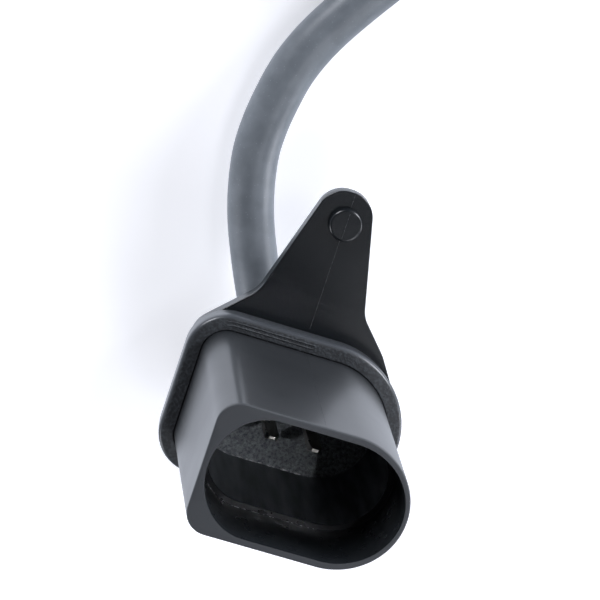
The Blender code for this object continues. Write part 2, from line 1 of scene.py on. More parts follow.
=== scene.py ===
# %% [markdown]
# # Two-pin connector of a brake pad wear sensor
# The sensor tells a car when a brake pad is worn through. This end of it is a D-shaped
# socket with two flat contacts, a rubber seal round its foot and a fixing ear with a peg.
# The lead leaves the back cover sideways, and its far end carries the sensing head.
# Everything is placed in metres in the frame of the imported CAD model, so the first step
# loads that model.

# %% Load the frame
from math import asin, cos, degrees, pi, radians, sin, tan

import bmesh
import bpy
import numpy as np
from mathutils import Matrix, Vector


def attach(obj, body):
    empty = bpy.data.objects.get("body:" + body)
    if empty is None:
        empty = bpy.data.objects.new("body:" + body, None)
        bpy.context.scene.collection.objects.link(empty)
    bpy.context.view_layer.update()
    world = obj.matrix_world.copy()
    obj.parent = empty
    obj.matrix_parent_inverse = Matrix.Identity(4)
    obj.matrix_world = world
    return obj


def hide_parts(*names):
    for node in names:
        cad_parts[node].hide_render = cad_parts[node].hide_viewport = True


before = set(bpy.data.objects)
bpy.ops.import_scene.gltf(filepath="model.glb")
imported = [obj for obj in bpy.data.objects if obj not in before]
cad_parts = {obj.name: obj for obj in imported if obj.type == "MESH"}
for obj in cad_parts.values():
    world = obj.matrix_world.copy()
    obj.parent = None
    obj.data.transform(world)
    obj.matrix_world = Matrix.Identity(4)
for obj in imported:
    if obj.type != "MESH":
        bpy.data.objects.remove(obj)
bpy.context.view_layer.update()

MM = 0.001

# %% [markdown]
# ## Small helpers
# Sizes are written in millimetres and turned to metres in one place. Colours are written
# as sRGB hex codes, as a paint program shows them, and turned to the linear values that
# the renderer mixes. `add` puts one node in a tree, with its settings and its links, and
# with the stops of a colour ramp. Noise takes its scale from the size of a grain. Grains
# that are finer than 0.2 mm on the real surface wouldn't show in the render, so they are
# drawn coarser, at 0.2 mm or more.

# %% Helpers for colours, nodes and materials
def srgb(code):
    parts = [int(code[i : i + 2], 16) / 255 for i in (0, 2, 4)]
    return [p / 12.92 if p <= 0.04045 else ((p + 0.055) / 1.055) ** 2.4 for p in parts] + [1]


def add(tree, kind, inputs=None, stops=(), **settings):
    made = tree.nodes.new(kind)
    for name, value in settings.items():
        setattr(made, name, value)
    for i, (position, code) in enumerate(stops):
        made.color_ramp.elements[i].position = position
        made.color_ramp.elements[i].color = srgb(code)
    for key, value in (inputs or {}).items():
        if isinstance(value, bpy.types.NodeSocket):
            tree.links.new(value, made.inputs[key])
        else:
            made.inputs[key].default_value = value
    return made


def grains_per_metre(size_mm):
    """Noise scale at which one grain is about this many millimetres across."""
    return 1 / (size_mm * MM)


def new_material(name, colour, roughness, **sockets):
    """A material's shader with its fixed values, its tree and its object coordinates."""
    made = bpy.data.materials.new(name)
    made.use_nodes = True
    shader = made.node_tree.nodes["Principled BSDF"]
    shader.inputs["Base Color"].default_value = srgb(colour)
    shader.inputs["Roughness"].default_value = roughness
    for socket, value in sockets.items():
        shader.inputs[socket.replace("_", " ")].default_value = value
    place = add(made.node_tree, "ShaderNodeTexCoord").outputs["Object"]
    print("material", name)
    return made, made.node_tree, shader, place


# %% [markdown]
# ## Camera
# The connector stands on its back and the camera looks down into the socket from about
# 75 degrees up. Its place, direction and lens were fitted to the outline of the socket,
# the seal and the ear in the photograph, as a plain pinhole camera with no shift.

# %% Camera
LENS_PX = 2790.7
FRAME_PX = 600
SENSOR_MM = 36.0
CAMERA_AT = (-53.14, 77.72, 338.27)
CAMERA_LOOK = (0.150526, -0.216857, -0.964528)
CAMERA_UP = (-0.284736, 0.924792, -0.252359)
NEAREST_SEEN = 10

look = Vector(CAMERA_LOOK).normalized()
up = Vector(CAMERA_UP).normalized()
right = look.cross(up).normalized()
camera = bpy.data.objects.new("camera", bpy.data.cameras.new("camera"))
bpy.context.scene.collection.objects.link(camera)
facing = Matrix((right, right.cross(look), -look)).transposed()
camera.matrix_world = Matrix.Translation(Vector(CAMERA_AT) * MM) @ facing.to_4x4()
camera.data.sensor_width = SENSOR_MM
camera.data.lens = LENS_PX * SENSOR_MM / FRAME_PX
camera.data.clip_start = NEAREST_SEEN * MM
bpy.context.scene.camera = camera
print("lens", round(camera.data.lens, 1), "mm, elevation", round(degrees(asin(-look.z)), 1))

# %% [markdown]
# ## Lead
# The lead is a round cable of 5.8 mm with a soft sheath. It leaves the back cover level,
# sinks to the surface in a slack curve and runs on past the edge of the view. The rest of
# its length is put away as a neat coil of two turns there, and its end climbs over the
# turns with the sensing head. The loose stretch follows listed points; the turns
# are worked out by a loop, a little over one diameter apart so that they don't touch. The
# coil's middle is set out from the last point of the loose stretch, which is out of view.

# %% Route of the lead
MOUTH_HEIGHT = 15.8
SEAL_OVERHANG = 2.3
EAR_TOP = 28.0
AXIS_Y = (MOUTH_HEIGHT / 2 + SEAL_OVERHANG - EAR_TOP) / 2
GAP = 0.3
CABLE_RADIUS = 2.9
LOOSE_POINTS = [
    (-3.3, 5.4, 4.7), (-4.6, 8.0, 4.7), (-6.0, 10.7, 4.65), (-7.3, 13.3, 4.3),
    (-8.5, 15.9, 3.8), (-9.6, 18.5, 3.35), (-10.6, 21.4, 3.1), (-11.4, 24.6, 3.0),
    (-11.9, 27.8, 3.0), (-11.9, 31.2, 3.0), (-11.5, 34.8, 3.0), (-10.8, 38.4, 3.0),
    (-9.6, 41.8, 3.0), (-7.9, 45.2, 3.0), (-5.7, 48.8, 3.0), (-3.2, 52.6, 3.0),
]
ONTO_COIL_POINTS = [(-0.6, 56.7, 3.0), (2.0, 60.9, 3.0), (4.5, 65.0, 3.0)]
COIL_OUTER_TURN = 34.9
COIL_PITCH = 5.9
COIL_TURNS = 2
COIL_HEIGHT = 3.0
POINTS_PER_TURN = 24
COIL_START = radians(-31.4)
COIL_BEARING = radians(120)
# Each point of the tail is degrees past the last full turn, radius and height.
TAIL_POINTS = [
    (22, 22.8, 4.7), (44, 22.8, 7.2), (64, 23.8, 8.7), (84, 25.7, 9.25),
    (104, 27.8, 9.3), (124, 29.3, 9.7), (140, 29.5, 10.2),
]
HEAD_TURN = radians(15)
SLEEVE_LENGTH = 8.0
SHARES_IN_SLEEVE = (0.5, 0.95)
LINE_STEP = 0.8

coil_reach = COIL_OUTER_TURN + CABLE_RADIUS - COIL_PITCH / 4 + GAP + CABLE_RADIUS
coil_x = LOOSE_POINTS[-1][0] + coil_reach * cos(COIL_BEARING)
coil_y = LOOSE_POINTS[-1][1] + coil_reach * sin(COIL_BEARING)


def on_coil(past, radius, height):
    """A point of the coil, so many degrees past its start, in millimetres."""
    angle = COIL_START + radians(past)
    return Vector((coil_x + radius * cos(angle), coil_y + radius * sin(angle), height))


full_turns = 360 * COIL_TURNS
route = [Vector(p) for p in LOOSE_POINTS + ONTO_COIL_POINTS]
for count in range(COIL_TURNS * POINTS_PER_TURN + 1):
    past = count * 360 / POINTS_PER_TURN
    route.append(on_coil(past, COIL_OUTER_TURN - COIL_PITCH * past / 360, COIL_HEIGHT))
route += [on_coil(full_turns + past, radius, height) for past, radius, height in TAIL_POINTS]
head_heading = COIL_START + radians(full_turns + TAIL_POINTS[-1][0]) + pi / 2 + HEAD_TURN
ahead = Vector((cos(head_heading), sin(head_heading), 0))
head_start = route[-1].copy()
route += [head_start + ahead * SLEEVE_LENGTH * share for share in SHARES_IN_SLEEVE]


def smooth_line(points, step):
    """Points about one step apart on a smooth curve through the given ones."""
    knots = [2 * points[0] - points[1], *points, 2 * points[-1] - points[-2]]
    fine = []
    for p0, p1, p2, p3 in zip(knots, knots[1:], knots[2:], knots[3:]):
        count = max(2, round((p2 - p1).length / step))
        for t in (i / count for i in range(count)):
            bend = (p2 - p0) * t + (2 * p0 - 5 * p1 + 4 * p2 - p3) * t * t
            fine.append(p1 + (bend + (3 * p1 - p0 - 3 * p2 + p3) * t**3) / 2)
    return fine + [points[-1]]


lead_line = [Vector((p.x, p.y + AXIS_Y, p.z)) * MM for p in smooth_line(route, LINE_STEP)]

# %% [markdown]
# A tube is made by carrying a ring of points along the line. A bevelled curve would do it
# too, but here each ring stands square to the line and is turned as little as possible
# from the one before, which keeps the sheath free of twist.

# %% Tube along a line
def mesh_object(name, bm, finish, sharp=None):
    """A finished mesh as an object at the origin, smooth but for edges over an angle."""
    mesh = bpy.data.meshes.new(name)
    bm.to_mesh(mesh)
    bm.free()
    mesh.shade_smooth()
    if sharp:
        mesh.set_sharp_from_angle(angle=radians(sharp))
    mesh.materials.append(finish)
    made = bpy.data.objects.new(name, mesh)
    bpy.context.scene.collection.objects.link(made)
    print(name, len(mesh.polygons), "faces")
    return made


def tube(name, line, radius, finish, sides=32):
    bm = bmesh.new()
    side = Vector((0, 0, 1))
    rings = []
    for before, here, after in zip([line[0], *line], line, [*line[1:], line[-1]]):
        along = (after - before).normalized()
        side = (side - along * side.dot(along)).normalized()
        other = along.cross(side)
        turns = [2 * pi * i / sides for i in range(sides)]
        rings.append(
            [bm.verts.new(here + (side * cos(t) + other * sin(t)) * radius) for t in turns]
        )
    for low, high in zip(rings, rings[1:]):
        for i in range(sides):
            bm.faces.new((low[i - 1], low[i], high[i], high[i - 1]))
    bm.faces.new(rings[0][::-1])
    bm.faces.new(rings[-1])
    bmesh.ops.recalc_face_normals(bm, faces=bm.faces[:])
    return mesh_object(name, bm, finish, sharp=60)


# %% [markdown]
# The sheath is polyurethane, extruded: a soft dark grey with a satin skin. Extrusion
# leaves it smooth with slow changes of tone along its length, and handling leaves pale
# specks of dust. Slow noise gives the tone, small cells give the specks, and a fine bump
# breaks up the highlight.

# %% Sheath material and the lead
sheath, tree, shader, place = new_material("polyurethane_extruded_sheath", "696F75", 0.4)
waves = add(tree, "ShaderNodeTexNoise", {"Vector": place, "Scale": grains_per_metre(2.5)})
skin = add(tree, "ShaderNodeTexNoise", {"Vector": place, "Scale": grains_per_metre(0.3)})
dust = add(
    tree,
    "ShaderNodeTexVoronoi",
    {"Vector": place, "Scale": grains_per_metre(0.55), "Randomness": 1.0},
)
speck = add(
    tree,
    "ShaderNodeMapRange",
    {
        "Value": dust.outputs["Distance"],
        "From Min": 0.06,
        "From Max": 0.16,
        "To Min": 0.2,
        "To Max": 0,
    },
)
tone = add(
    tree,
    "ShaderNodeValToRGB",
    {"Fac": waves.outputs["Fac"]},
    stops=((0.35, "646A70"), (0.65, "6F757B")),
)
dusty = add(
    tree,
    "ShaderNodeMix",
    {"Factor": speck.outputs["Result"], "A": tone.outputs["Color"], "B": srgb("B4B9BE")},
    data_type="RGBA",
)
tree.links.new(dusty.outputs["Result"], shader.inputs["Base Color"])
bump = add(
    tree,
    "ShaderNodeBump",
    {"Height": skin.outputs["Fac"], "Distance": 0.02 * MM, "Strength": 0.6},
)
tree.links.new(bump.outputs["Normal"], shader.inputs["Normal"])
lead = tube("lead", lead_line, CABLE_RADIUS * MM, sheath)
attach(lead, "root")
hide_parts("cable", "cable_coil", "cable_tail")

# %% [markdown]
# ## Outlines of the connector
# The mouth has a flat left end with rounded corners and a right end that is half an oval.
# The cavity inside is a longer oval. Both are sampled at the same angles round the middle,
# so rings of any two outlines join into clean four-sided faces.

# %% Outlines
RING_POINTS = 240
STRAIGHT_SPACING = 0.1
MOUTH_WIDTH = 24.0
MOUTH_CORNER = 2.7
MOUTH_NOSE = 8.25
CAVITY_HEIGHT = 14.2
CAVITY_LEFT_LAND = 0.68
CAVITY_RIGHT_WALL = 0.54
CAVITY_LEFT_NOSE = 6.3
CAVITY_RIGHT_NOSE = 7.65


def arc(cx, cy, a, b, start, end, steps=60):
    turns = [radians(start + (end - start) * i / steps) for i in range(steps + 1)]
    return [(cx + a * cos(t), cy + b * sin(t)) for t in turns]


def by_angle(points):
    """The same closed outline with RING_POINTS points at equal angles round the middle."""
    xy = np.array(points)
    angles = np.unwrap(np.arctan2(xy[:, 1], xy[:, 0]))
    radii = np.hypot(xy[:, 0], xy[:, 1])
    order = np.argsort(angles)
    wanted = np.linspace(-pi, pi, RING_POINTS, endpoint=False)
    r = np.interp(wanted, angles[order], radii[order], period=2 * pi)
    return np.stack([r * np.cos(wanted), r * np.sin(wanted)], axis=1)


def dense(points):
    """Extra points along straight stretches, so that sampling by angle keeps them straight."""
    made = []
    for (x0, y0), (x1, y1) in zip(points, points[1:] + points[:1]):
        count = max(1, int(max(abs(x1 - x0), abs(y1 - y0)) / STRAIGHT_SPACING))
        made += [(x0 + (x1 - x0) * i / count, y0 + (y1 - y0) * i / count) for i in range(count)]
    return made


def mouth(grow=0.0, corner=None):
    half_w, half_h = MOUTH_WIDTH / 2 + grow, MOUTH_HEIGHT / 2 + grow
    r = MOUTH_CORNER + grow if corner is None else corner
    nose = MOUTH_NOSE + grow
    points = arc(half_w - nose, 0, nose, half_h, -90, 90)
    points += arc(r - half_w, half_h - r, r, r, 90, 180)
    points += arc(r - half_w, r - half_h, r, r, 180, 270)
    return by_angle(dense(points))


def oval(shrink=0.0):
    left = CAVITY_LEFT_LAND - MOUTH_WIDTH / 2 + shrink
    right = MOUTH_WIDTH / 2 - CAVITY_RIGHT_WALL - shrink
    left_nose, right_nose = CAVITY_LEFT_NOSE - shrink, CAVITY_RIGHT_NOSE - shrink
    half = CAVITY_HEIGHT / 2 - shrink
    points = arc(right - right_nose, 0, right_nose, half, -90, 90)
    points += arc(left + left_nose, 0, left_nose, half, 90, 270)
    return by_angle(dense(points))


print("mouth", MOUTH_WIDTH, "x", MOUTH_HEIGHT, "mm")

# %% [markdown]
# The connector is a stack: the back cover, the flange plate, the seal and the shroud up to
# its rim. Pieces that seat on each other have a small gap in the CAD model, so the heights
# are added up here in the same way, from the back to the rim.

# %% Heights from the back to the rim
COVER_HEIGHT = 10.7
PLATE_THICKNESS = 2.0
SEAL_THICKNESS = 3.6
SHROUD_LENGTH = 28.9
CAVITY_DEPTH = 28.4
STEP_DEPTH = 11.0
STEP_WIDTH = 0.75

PLATE_BACK = COVER_HEIGHT + GAP
PLATE_FRONT = PLATE_BACK + PLATE_THICKNESS
PLATE_MIDDLE = PLATE_BACK + PLATE_THICKNESS / 2
SEAL_BACK = PLATE_FRONT + GAP
SEAL_FRONT = SEAL_BACK + SEAL_THICKNESS
RIM = SEAL_FRONT + SHROUD_LENGTH
LEDGE = RIM - STEP_DEPTH
CAVITY_FLOOR = RIM - CAVITY_DEPTH
print("rim at", round(RIM, 1), "mm, cavity floor at", round(CAVITY_FLOOR, 1), "mm")

# %% [markdown]
# ## Connector housing
# One moulding of dark nylon with glass fibres in it. Its faces don't look alike, because
# the mould that made them was polished, matt or spark-eroded from place to place, and the
# plug has rubbed some of them since. Deep in the cavity the floor and lower wall are also
# painted paler, as painted light. So it gets six finishes, and each face takes one.
#
# The ear and the flange are glossy: the mould was polished there. The shroud's outer wall
# has the satin of a mould that lets go of a deep piece easily: a broad sheen under a thin
# resin skin, which mirrors the surface below at a low angle. Both share a slow change of
# gloss where the melt flowed and a fine grain, so one function makes the two.

# %% Glossy ear and satin wall
def moulded_nylon(name, colour, smoothest, roughest, **sockets):
    """Nylon whose gloss changes slowly between two roughness values, with a fine grain."""
    middle = (smoothest + roughest) / 2
    made, tree, shader, place = new_material(name, colour, middle, IOR=1.53, **sockets)
    flow = add(tree, "ShaderNodeTexNoise", {"Vector": place, "Scale": grains_per_metre(9)})
    gloss = add(
        tree,
        "ShaderNodeMapRange",
        {
            "Value": flow.outputs["Fac"],
            "From Min": 0.3,
            "From Max": 0.7,
            "To Min": smoothest,
            "To Max": roughest,
        },
    )
    tree.links.new(gloss.outputs["Result"], shader.inputs["Roughness"])
    grain = add(
        tree, "ShaderNodeTexNoise", {"Vector": place, "Scale": grains_per_metre(0.3), "Detail": 4}
    )
    bump = add(
        tree,
        "ShaderNodeBump",
        {"Height": grain.outputs["Fac"], "Distance": 0.01 * MM, "Strength": 0.4},
    )
    tree.links.new(bump.outputs["Normal"], shader.inputs["Normal"])
    return made


nylon = moulded_nylon("glass_filled_nylon_moulded", "15181B", 0.22, 0.26)
satin = moulded_nylon(
    "glass_filled_nylon_satin_wall", "1B1E21", 0.42, 0.48, Coat_Weight=0.6, Coat_Roughness=0.24
)

# %% [markdown]
# The rim was moulded against a finely spark-eroded face. That leaves it matt, so it shows
# as an even grey band round the dark mouth. A fine bump is all it needs, and most of the
# small pieces further on are like it, so one function makes them all.

# %% Matt rim
def grained(name, colour, roughness, grain_mm, depth_mm, detail=2, strength=0.6):
    """An even skin with a grain of the given size and depth."""
    made, tree, shader, place = new_material(name, colour, roughness)
    grain = add(
        tree,
        "ShaderNodeTexNoise",
        {"Vector": place, "Scale": grains_per_metre(grain_mm), "Detail": detail},
    )
    bump = add(
        tree,
        "ShaderNodeBump",
        {"Height": grain.outputs["Fac"], "Distance": depth_mm * MM, "Strength": strength},
    )
    tree.links.new(bump.outputs["Normal"], shader.inputs["Normal"])
    return made


matt_rim = grained("glass_filled_nylon_matt_rim", "35383C", 0.55, 0.4, 0.02, 3, 0.5)

# %% [markdown]
# Inside the socket the plug has left its marks. Above the step its seal slides on the
# wall and has dulled the gloss in patches. Below the step the wall is painted paler, as
# painted sheen and light on the deep wall, with soft pale streaks that run down it: partly
# rub marks of the plug going in and out, partly painted sheen. Noise drawn long in the
# direction of the depth gives the streaks.

# %% Sliding bore and rubbed wall
bore, tree, shader, place = new_material("glass_filled_nylon_sliding_bore", "181B1E", 0.3, IOR=1.53)
worn = add(tree, "ShaderNodeTexNoise", {"Vector": place, "Scale": grains_per_metre(1.5)})
gloss = add(
    tree,
    "ShaderNodeMapRange",
    {
        "Value": worn.outputs["Fac"],
        "From Min": 0.3,
        "From Max": 0.7,
        "To Min": 0.26,
        "To Max": 0.38,
    },
)
tree.links.new(gloss.outputs["Result"], shader.inputs["Roughness"])

# Painted sheen: the lower wall's pale base and streaks stand in for light on the deep wall.
rubbed_wall_painted_sheen, tree, shader, place = new_material("glass_filled_nylon_rubbed_wall_painted_sheen", "3C4043", 0.4)
long = add(tree, "ShaderNodeMapping", {"Vector": place, "Scale": (1, 1, 0.12)})
rub_and_sheen = add(
    tree,
    "ShaderNodeTexNoise",
    {"Vector": long.outputs["Vector"], "Scale": grains_per_metre(1.3), "Detail": 4},
)
tone = add(
    tree,
    "ShaderNodeValToRGB",
    {"Fac": rub_and_sheen.outputs["Fac"]},
    stops=((0.35, "44484B"), (0.7, "70757A")),
)
tree.links.new(tone.outputs["Color"], shader.inputs["Base Color"])

# %% [markdown]
# The floor of the cavity is the coarsest face: the mould's end was spark-eroded roughly,
# so the floor is speckled. Its pale grey is painted light: far lighter than the nylon, so
# that the deep floor shows as lit. Where the melt fronts met, dark wandering lines cross it.
# Strong noise and a deep bump give the speckle, and ridged noise, which is bright only
# along thin lines, gives the wandering lines.

# %% Eroded floor
# Painted light: the pale grey base and ramp stand in for light on the deep floor.
eroded_floor_painted_light, tree, shader, place = new_material("glass_filled_nylon_eroded_floor_painted_light", "7C8084", 0.6)
grain = add(
    tree,
    "ShaderNodeTexNoise",
    {"Vector": place, "Scale": grains_per_metre(0.36), "Detail": 8, "Roughness": 0.75},
)
tone = add(
    tree,
    "ShaderNodeValToRGB",
    {"Fac": grain.outputs["Fac"]},
    stops=((0.38, "64686C"), (0.66, "BCC1C5")),
)
lines = add(
    tree,
    "ShaderNodeTexNoise",
    {"Vector": place, "Scale": grains_per_metre(2.2), "Detail": 5},
    noise_type="RIDGED_MULTIFRACTAL",
)
seam = add(
    tree,
    "ShaderNodeMapRange",
    {
        "Value": lines.outputs["Fac"],
        "From Min": 0.75,
        "From Max": 1.0,
        "To Min": 0,
        "To Max": 0.6,
    },
)
marked = add(
    tree,
    "ShaderNodeMix",
    {"Factor": seam.outputs["Result"], "A": tone.outputs["Color"], "B": srgb("1E2022")},
    data_type="RGBA",
)
tree.links.new(marked.outputs["Result"], shader.inputs["Base Color"])
bump = add(
    tree,
    "ShaderNodeBump",
    {"Height": grain.outputs["Fac"], "Distance": 0.12 * MM, "Strength": 0.8},
)
tree.links.new(bump.outputs["Normal"], shader.inputs["Normal"])

# %% [markdown]
# The shroud is a hollow with walls under a millimetre thick. A Solidify modifier could
# make such walls, but the cavity has another outline than the outside. So it is built as
# a stack of rings: up the outside, over the rounded rim and down the inside to the floor.
# Four-sided faces between the rings let thin walls catch clean highlights. The inner wall
# steps inwards at the ledge, where the mating plug stops.

# %% Shroud as a stack of rings
def stacked(name, rings, finish, sharp=40, hollow=False):
    """Joins outlines of equal length at their heights, in millimetres, into one skin.

    A hollow one ends at its first outline again; any other has a face at each end.
    """
    bm = bmesh.new()
    rows = []
    for outline, z in rings:
        rows.append([bm.verts.new(Vector((x, y + AXIS_Y, z)) * MM) for x, y in outline])
    following = rows[1:] + rows[:1] if hollow else rows[1:]
    for low, high in zip(rows, following):
        for i in range(len(low)):
            bm.faces.new((low[i - 1], low[i], high[i], high[i - 1]))
    if not hollow:
        bm.faces.new(rows[0][::-1])
        bm.faces.new(rows[-1])
    bmesh.ops.recalc_face_normals(bm, faces=bm.faces[:])
    return mesh_object(name, bm, finish, sharp)


def rounding(radius, steps=4):
    """(inwards, upwards) of each step of a rounded edge, from its start to its end."""
    turns = [pi / 2 * i / steps for i in range(steps + 1)]
    return [(radius * (1 - cos(t)), radius * sin(t)) for t in turns]


SHROUD_DRAFT = 0.37
DRAFT_SHARES = (0.3, 0.6, 0.9, 0.98)
RIM_EDGE = 0.2
INNER_EDGE = 0.15
STEP_EDGE = 0.07
# Rings close to an edge keep its shading from bleeding down the flat wall beside it.
ABOVE_EDGE = 0.5
BELOW_EDGE = 0.6

rings = [(mouth(SHROUD_DRAFT), PLATE_MIDDLE), (mouth(SHROUD_DRAFT), SEAL_FRONT)]
for share in DRAFT_SHARES:
    height = SEAL_FRONT + (RIM - RIM_EDGE - SEAL_FRONT) * share
    rings.append((mouth(SHROUD_DRAFT * (1 - share)), height))
rings += [(mouth(-inwards), RIM - RIM_EDGE + rise) for inwards, rise in rounding(RIM_EDGE)]
rings += [
    (oval(inwards - INNER_EDGE), RIM - INNER_EDGE + rise)
    for inwards, rise in reversed(rounding(INNER_EDGE, 3))
]
rings += [
    (oval(), RIM - BELOW_EDGE),
    (oval(), LEDGE + ABOVE_EDGE),
    (oval(), LEDGE + STEP_EDGE),
    (oval(STEP_EDGE), LEDGE),
    (oval(STEP_WIDTH - STEP_EDGE), LEDGE),
    (oval(STEP_WIDTH), LEDGE - STEP_EDGE),
    (oval(STEP_WIDTH), LEDGE - BELOW_EDGE),
    (oval(STEP_WIDTH), CAVITY_FLOOR + ABOVE_EDGE),
    (oval(STEP_WIDTH), CAVITY_FLOOR),
]
housing = stacked("housing", rings, nylon)

# %% [markdown]
# The flange plate and the ear share one outline of straight runs and fillets. Each corner
# is replaced by an arc that touches both of its sides. The plate's edges are rounded by
# drawing the outline in a little at each step of the rounding.

# %% Flange plate with its ear
PLATE_EDGE = 0.12
PLATE_OVERHANG = 1.6
SEAL_CORNER = 5.2
EAR_TOP_LEFT = -3.08
EAR_TOP_RIGHT = 2.29
EAR_TOP_RADIUS = 3.3
EAR_FOOT_LEFT = (-7.47, 13.18)
EAR_FOOT_RIGHT = (5.85, 13.65)
EAR_FOOT_RADIUS = 4.0
SHOULDER = (9.6, 9.6)
SHOULDER_SLOPE = 1.5
SHOULDER_RADIUS = 2 * PLATE_OVERHANG


def filleted(corners, steps=16):
    """Points along an outline whose corners, each with its radius, are arcs."""
    points = []
    for i, (x, y, radius) in enumerate(corners):
        here = Vector((x, y))
        before = (Vector(corners[i - 1][:2]) - here).normalized()
        after = (Vector(corners[(i + 1) % len(corners)][:2]) - here).normalized()
        half = before.angle(after) / 2
        first, last = here + before * radius / tan(half), here + after * radius / tan(half)
        centre = here + (before + after).normalized() * radius / sin(half)
        swing = (first - centre).angle_signed(last - centre)
        for at in range(steps + 1):
            spoke = Matrix.Rotation(-swing * at / steps, 2) @ (first - centre)
            points.append((centre.x + spoke.x, centre.y + spoke.y))
    return points


def drawn_in(points, by):
    """The outline moved inwards by a small distance, square to itself."""
    xy = np.array(points)
    along = np.roll(xy, -1, axis=0) - np.roll(xy, 1, axis=0)
    along /= np.linalg.norm(along, axis=1)[:, None]
    return xy + np.stack([-along[:, 1], along[:, 0]], axis=1) * by


half_w, half_h = MOUTH_WIDTH / 2 + PLATE_OVERHANG, MOUTH_HEIGHT / 2 + PLATE_OVERHANG
right_side, left_corner = half_w + GAP, SEAL_CORNER - PLATE_OVERHANG
shoulder_foot = SHOULDER[1] - (right_side - SHOULDER[0]) * SHOULDER_SLOPE
plate_outline = filleted(
    [
        (right_side, -half_h, half_h - GAP),
        (right_side, shoulder_foot, SHOULDER_RADIUS),
        (*SHOULDER, SHOULDER_RADIUS),
        (*EAR_FOOT_RIGHT, EAR_FOOT_RADIUS),
        (EAR_TOP_RIGHT, EAR_TOP, EAR_TOP_RADIUS),
        (EAR_TOP_LEFT, EAR_TOP, EAR_TOP_RADIUS),
        (*EAR_FOOT_LEFT, EAR_FOOT_RADIUS),
        (-half_w, EAR_FOOT_LEFT[1] - half_w - EAR_FOOT_LEFT[0], left_corner),
        (-half_w, -half_h, left_corner),
    ]
)
rings = [
    (drawn_in(plate_outline, inwards), PLATE_BACK + PLATE_EDGE - rise)
    for inwards, rise in reversed(rounding(PLATE_EDGE))
]
rings += [
    (drawn_in(plate_outline, inwards), PLATE_FRONT - PLATE_EDGE + rise)
    for inwards, rise in rounding(PLATE_EDGE)
]
plate = stacked("plate", rings, nylon)

# %% [markdown]
# The peg locates the ear in its holder. It is a stack of circles with a little draft and
# a rounded top edge. The spigot plugs the back cover and is hidden inside it, so it stays
# plain.

# %% Peg and spigot
PEG_AT = (-0.1, 24.0)
PEG_RADIUS = 2.0
PEG_HEIGHT = 0.9
PEG_EDGE = 0.3
PEG_DRAFT = 0.06
PEG_FOOT = 0.05
COVER_WIDTH = 18.8
COVER_DEPTH = 14.0
COVER_OFFSET = -0.4
COVER_WALL = 1.4
COVER_CORNER = 3.2
SPIGOT_HEIGHT = 1.6


def round_outline(centre, radius, points=64):
    turns = [2 * pi * i / points for i in range(points)]
    return [(centre[0] + radius * cos(t), centre[1] + radius * sin(t)) for t in turns]


peg_foot = round_outline(PEG_AT, PEG_RADIUS + PEG_DRAFT)
rings = [(peg_foot, PLATE_MIDDLE), (peg_foot, PLATE_FRONT + PEG_FOOT)]
rings += [
    (round_outline(PEG_AT, PEG_RADIUS - inwards), PLATE_FRONT + PEG_HEIGHT - PEG_EDGE + rise)
    for inwards, rise in rounding(PEG_EDGE, 5)
]
peg = stacked("peg", rings, nylon)

side, front, back = COVER_WIDTH / 2, COVER_OFFSET - COVER_DEPTH / 2, COVER_OFFSET + COVER_DEPTH / 2
cover_corners = [(side, front), (side, back), (-side, back), (-side, front)]
cover_outline = filleted([(*corner, COVER_CORNER) for corner in cover_corners])
spigot_outline = drawn_in(cover_outline, COVER_WALL + GAP)
rings = [(spigot_outline, PLATE_BACK - SPIGOT_HEIGHT), (spigot_outline, PLATE_MIDDLE)]
spigot = stacked("spigot", rings, nylon)

# %% [markdown]
# The pieces are joined to one closed skin with exact Booleans, and two slots are cut for
# the contacts. Joining leaves long thin faces, over which smooth shading makes bands. The
# Weighted Normal modifier lets the large flat faces decide the shading, and they stay flat.

# %% Joined housing
CONTACT_PITCH = 5.33
CONTACT_SHIFT = 0.1
BLADE_WIDTH = 1.6
BLADE_THICKNESS = 0.8
SLOT_BELOW = 2.5
SLOT_ABOVE = 1.0


def settle(piece):
    """Keeps what the modifiers make of a piece as its plain mesh."""
    graph = bpy.context.evaluated_depsgraph_get()
    piece.data = bpy.data.meshes.new_from_object(piece.evaluated_get(graph))
    piece.modifiers.clear()


def join(target, tools, operation="UNION"):
    for tool in tools:
        modifier = target.modifiers.new("join", "BOOLEAN")
        modifier.object, modifier.operation, modifier.solver = tool, operation, "EXACT"
    settle(target)
    for tool in tools:
        bpy.data.objects.remove(tool)


CONTACTS = {
    "contact_left": CONTACT_SHIFT - CONTACT_PITCH / 2,
    "contact_right": CONTACT_SHIFT + CONTACT_PITCH / 2,
}
slots = []
for name, x in CONTACTS.items():
    half_w, half_h = BLADE_WIDTH / 2 + GAP, BLADE_THICKNESS / 2 + GAP
    signs = ((1, -1), (1, 1), (-1, 1), (-1, -1))
    outline = [(x + across * half_w, up * half_h) for across, up in signs]
    rings = [(outline, PLATE_BACK - SLOT_BELOW), (outline, CAVITY_FLOOR + SLOT_ABOVE)]
    slots.append(stacked("slot_" + name, rings, nylon, sharp=None))
join(housing, [plate, peg, spigot])
join(housing, slots, operation="DIFFERENCE")
housing.data.set_sharp_from_angle(angle=radians(30))
flat_faces = housing.modifiers.new("flat faces stay flat", "WEIGHTED_NORMAL")
flat_faces.keep_sharp = True
settle(housing)
print("joined housing", len(housing.data.polygons), "faces")

# %% [markdown]
# Each face of the housing takes its finish from where it is and which way it looks: the
# rim by its height, the floor and the walls of the cavity by looking inwards, and the
# outer wall by looking outwards. What is left, such as the ear, keeps the gloss.

# %% Finishes of the housing
SKINS = {
    "ear": nylon,
    "rim": matt_rim,
    "floor": eroded_floor_painted_light,
    "lower wall": rubbed_wall_painted_sheen,
    "outer wall": satin,
    "bore": bore,
}
RIM_BAND = 0.16
NEAR = 0.02
LEDGE_BAND = STEP_EDGE + 0.01
FACES_UP = 0.5


